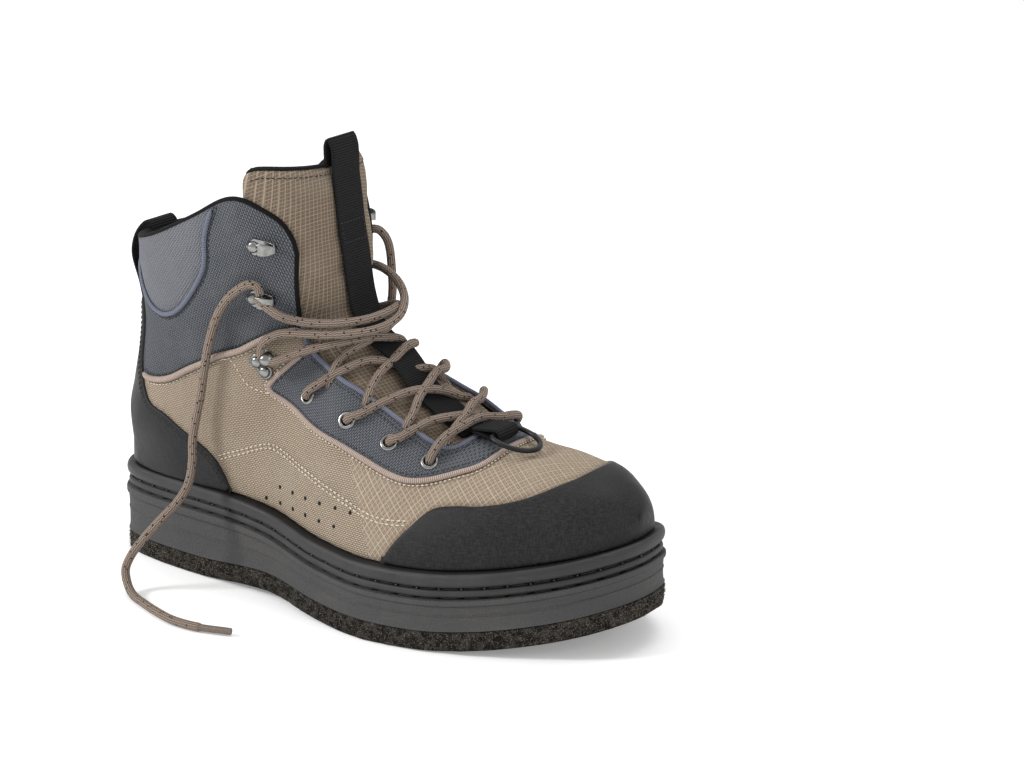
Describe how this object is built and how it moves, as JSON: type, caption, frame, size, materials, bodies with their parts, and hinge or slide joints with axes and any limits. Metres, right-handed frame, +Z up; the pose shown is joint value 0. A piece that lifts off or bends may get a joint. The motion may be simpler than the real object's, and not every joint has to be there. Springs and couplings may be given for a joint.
{
  "type": "wading boot",
  "caption": "Ankle-high lace-up wading boot for the right foot with a flat felt sole, rubber toe and heel, metal lace hooks and a plastic D-ring.",
  "frame": {"origin": "middle of the sole's length and width, on the floor that the felt stands on", "axes": "+X towards the toe, +Y towards the medial side, +Z up"},
  "size_m": [0.318, 0.1638, 0.2348],
  "materials": {
    "felt": "coarse pressed felt, speckled grey",
    "rubber": "matte charcoal rubber, dusty",
    "footbed": "black knit over foam",
    "canvas": "tan ripstop textile",
    "smooth_overlay": "smooth black coated synthetic leather",
    "grey_weave": "grey-blue ballistic weave",
    "edging": "pinkish braided piping",
    "webbing": "black ribbed webbing",
    "hook_metal": "satin nickel",
    "ring_plastic": "satin black moulding",
    "lace": "round taupe braid with dark flecks"
  },
  "bodies": {
    "boot": {"outsole_felt": "felt", "midsole": "rubber", "welt": "rubber", "insole": "footbed", "upper": "canvas", "toe_cap": "smooth_overlay", "heel_counter": "smooth_overlay", "eyestay": "grey_weave", "tongue": "canvas", "tongue_strap": "webbing", "heel_loop": "webbing", "ankle_piping_lateral": "edging", "ankle_piping_medial": "edging", "hook_lateral_1": "hook_metal", "hook_lateral_2": "hook_metal", "locking_hook_lateral": "hook_metal", "eyelet_lateral_1": "hook_metal", "eyelet_lateral_2": "hook_metal", "eyelet_lateral_3": "hook_metal", "eyelet_lateral_4": "hook_metal", "hook_medial_1": "hook_metal", "hook_medial_2": "hook_metal", "locking_hook_medial": "hook_metal", "eyelet_medial_1": "hook_metal", "eyelet_medial_2": "hook_metal", "eyelet_medial_3": "hook_metal", "eyelet_medial_4": "hook_metal", "d_ring_tab": "webbing", "lace_cross_1": "lace", "lace_cross_2": "lace", "lace_cross_3": "lace", "lace_cross_4": "lace", "lace_cross_5": "lace", "lace_end_lateral": "lace", "lace_end_medial": "lace"},
    "d_ring": {"d_ring": "ring_plastic"}
  },
  "joints": [
    {"name": "d_ring_swing", "type": "hinge", "parent": "boot", "child": "d_ring", "pos_m": [0.07346, 0.00416, 0.09647], "axis": [0, -1, 0], "range_deg": [0, 110]}
  ]
}
